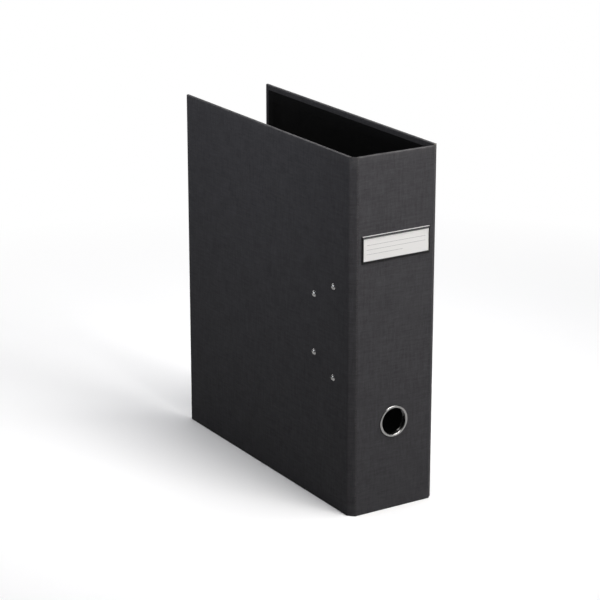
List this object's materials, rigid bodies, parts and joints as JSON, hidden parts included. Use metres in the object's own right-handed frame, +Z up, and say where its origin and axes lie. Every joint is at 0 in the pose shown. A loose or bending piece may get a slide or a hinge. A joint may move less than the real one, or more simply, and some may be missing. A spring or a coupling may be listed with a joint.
{
  "type": "lever-arch ring binder",
  "caption": "Upright lever-arch file: covered boards creased at a bevelled spine, a finger ring, a label holder, and a lever-worked arch mechanism riveted inside.",
  "frame": {"origin": "under the middle of the whole object's box, on the surface the file stands on", "axes": "+Z up along the spine, the spine's face towards -Y and the fore edges towards +Y, the rear cover with the mechanism at -X and the front cover at +X"},
  "size_m": [0.0896, 0.2812, 0.32],
  "materials": {
    "covering_paper": "charcoal paper embossed with a fine linen weave",
    "lining_paper": "smooth matt black",
    "grey_board": "raw grey board",
    "bright_nickel": "bright nickel plate",
    "dark_nickel": "dark nickel plate",
    "plated_steel": "zinc plated",
    "label_card": "smooth off-white card",
    "roller_plastic": "moulded black"
  },
  "bodies": {
    "rear_cover": {"rear_cover_paper": "covering_paper", "rear_board": "grey_board", "rear_liner": "lining_paper", "base_plate": "bright_nickel", "upper_post": "bright_nickel", "lower_post": "bright_nickel", "mechanism_rivets": "bright_nickel", "lever_pin": "plated_steel"},
    "rear_hinge": {"rear_hinge_paper": "covering_paper", "rear_hinge_liner": "lining_paper"},
    "spine": {"spine_paper": "covering_paper", "spine_board": "grey_board", "spine_liner": "lining_paper", "finger_ring": "bright_nickel", "finger_ring_washer": "plated_steel", "label_holder": "dark_nickel"},
    "front_hinge": {"front_hinge_paper": "covering_paper", "front_hinge_liner": "lining_paper"},
    "front_cover": {"front_cover_paper": "covering_paper", "front_board": "grey_board", "front_liner": "lining_paper"},
    "label_card": {"label_card": "label_card"},
    "arches": {"arch_wire": "bright_nickel"},
    "lever": {"lever": "bright_nickel", "roller_pin": "plated_steel"},
    "roller": {"roller": "roller_plastic"},
    "compressor": {"compressor_bar": "bright_nickel", "grip_spring": "plated_steel", "latch_pin": "plated_steel"},
    "latch": {"compressor_latch": "bright_nickel"}
  },
  "joints": [
    {"name": "rear_cover_crease", "type": "hinge", "parent": "rear_cover", "child": "rear_hinge", "pos_m": [-0.0432, -0.1339, 0.16], "axis": [0, 0, -1], "range_deg": [0, 45]},
    {"name": "rear_spine_crease", "type": "hinge", "parent": "rear_hinge", "child": "spine", "pos_m": [-0.0377, -0.1394, 0.16], "axis": [0, 0, -1], "range_deg": [0, 45]},
    {"name": "front_spine_crease", "type": "hinge", "parent": "spine", "child": "front_hinge", "pos_m": [0.0393, -0.1394, 0.16], "axis": [0, 0, -1], "range_deg": [0, 90]},
    {"name": "front_cover_crease", "type": "hinge", "parent": "front_hinge", "child": "front_cover", "pos_m": [0.0448, -0.1339, 0.16], "axis": [0, 0, -1], "range_deg": [0, 90]},
    {"name": "label_card_lift", "type": "slide", "parent": "spine", "child": "label_card", "axis": [0, 0, 1], "range_m": [0, 0.026]},
    {"name": "lever_swing", "type": "hinge", "parent": "rear_cover", "child": "lever", "pos_m": [-0.0209, -0.0964, 0.161], "axis": [0, 0, -1], "range_deg": [0, 64]},
    {"name": "arch_swing", "type": "hinge", "parent": "rear_cover", "child": "arches", "pos_m": [-0.0357, -0.1034, 0.161], "axis": [0, 0, -1], "range_deg": [0, 32]},
    {"name": "roller_spin", "type": "hinge", "parent": "lever", "child": "roller", "pos_m": [-0.0299, -0.0964, 0.161], "axis": [0, 0, 1], "continuous": true},
    {"name": "compressor_slide", "type": "slide", "parent": "rear_cover", "child": "compressor", "axis": [1, 0, 0], "range_m": [0, 0.036]},
    {"name": "latch_flip", "type": "hinge", "parent": "compressor", "child": "latch", "pos_m": [-0.0322, -0.0774, 0.161], "axis": [0, 0, -1], "range_deg": [0, 80]}
  ],
  "couplings": [
    {"joint": "rear_spine_crease", "follows": "rear_cover_crease", "ratio": 1},
    {"joint": "front_cover_crease", "follows": "front_spine_crease", "ratio": 1},
    {"joint": "arch_swing", "follows": "lever_swing", "ratio": 0.5}
  ]
}
